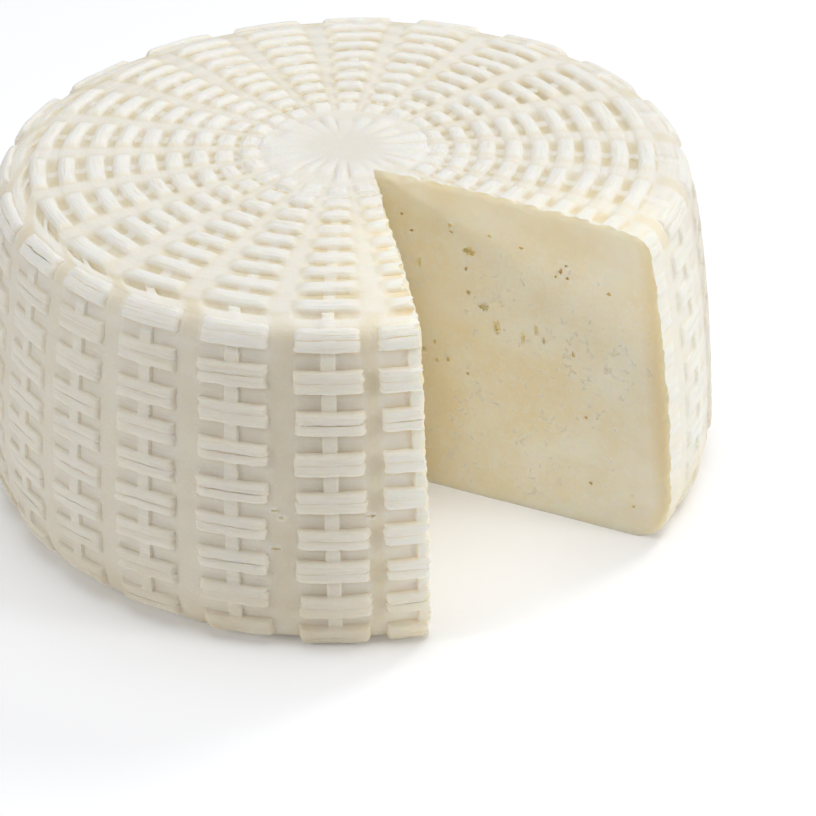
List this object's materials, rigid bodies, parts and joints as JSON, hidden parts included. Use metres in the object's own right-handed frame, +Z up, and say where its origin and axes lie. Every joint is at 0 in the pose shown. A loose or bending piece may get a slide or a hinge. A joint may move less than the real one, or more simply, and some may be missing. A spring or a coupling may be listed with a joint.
{
  "type": "basket-moulded fresh cheese wheel",
  "caption": "Round fresh white cheese moulded in a woven basket: weave-imprinted wall and top, flat base, and a wedge cut out down to the base.",
  "frame": {"origin": "on the wheel's axis, at its flat underside", "axes": "+Z up along the wheel's axis, -Y the front; the cut-out opens to the front, towards +X"},
  "size_m": [0.1624, 0.1626, 0.0752],
  "materials": {
    "fresh_cheese": "matte, moist, slightly uneven"
  },
  "bodies": {
    "root": {"cheese_wheel": "fresh_cheese"}
  },
  "joints": []
}
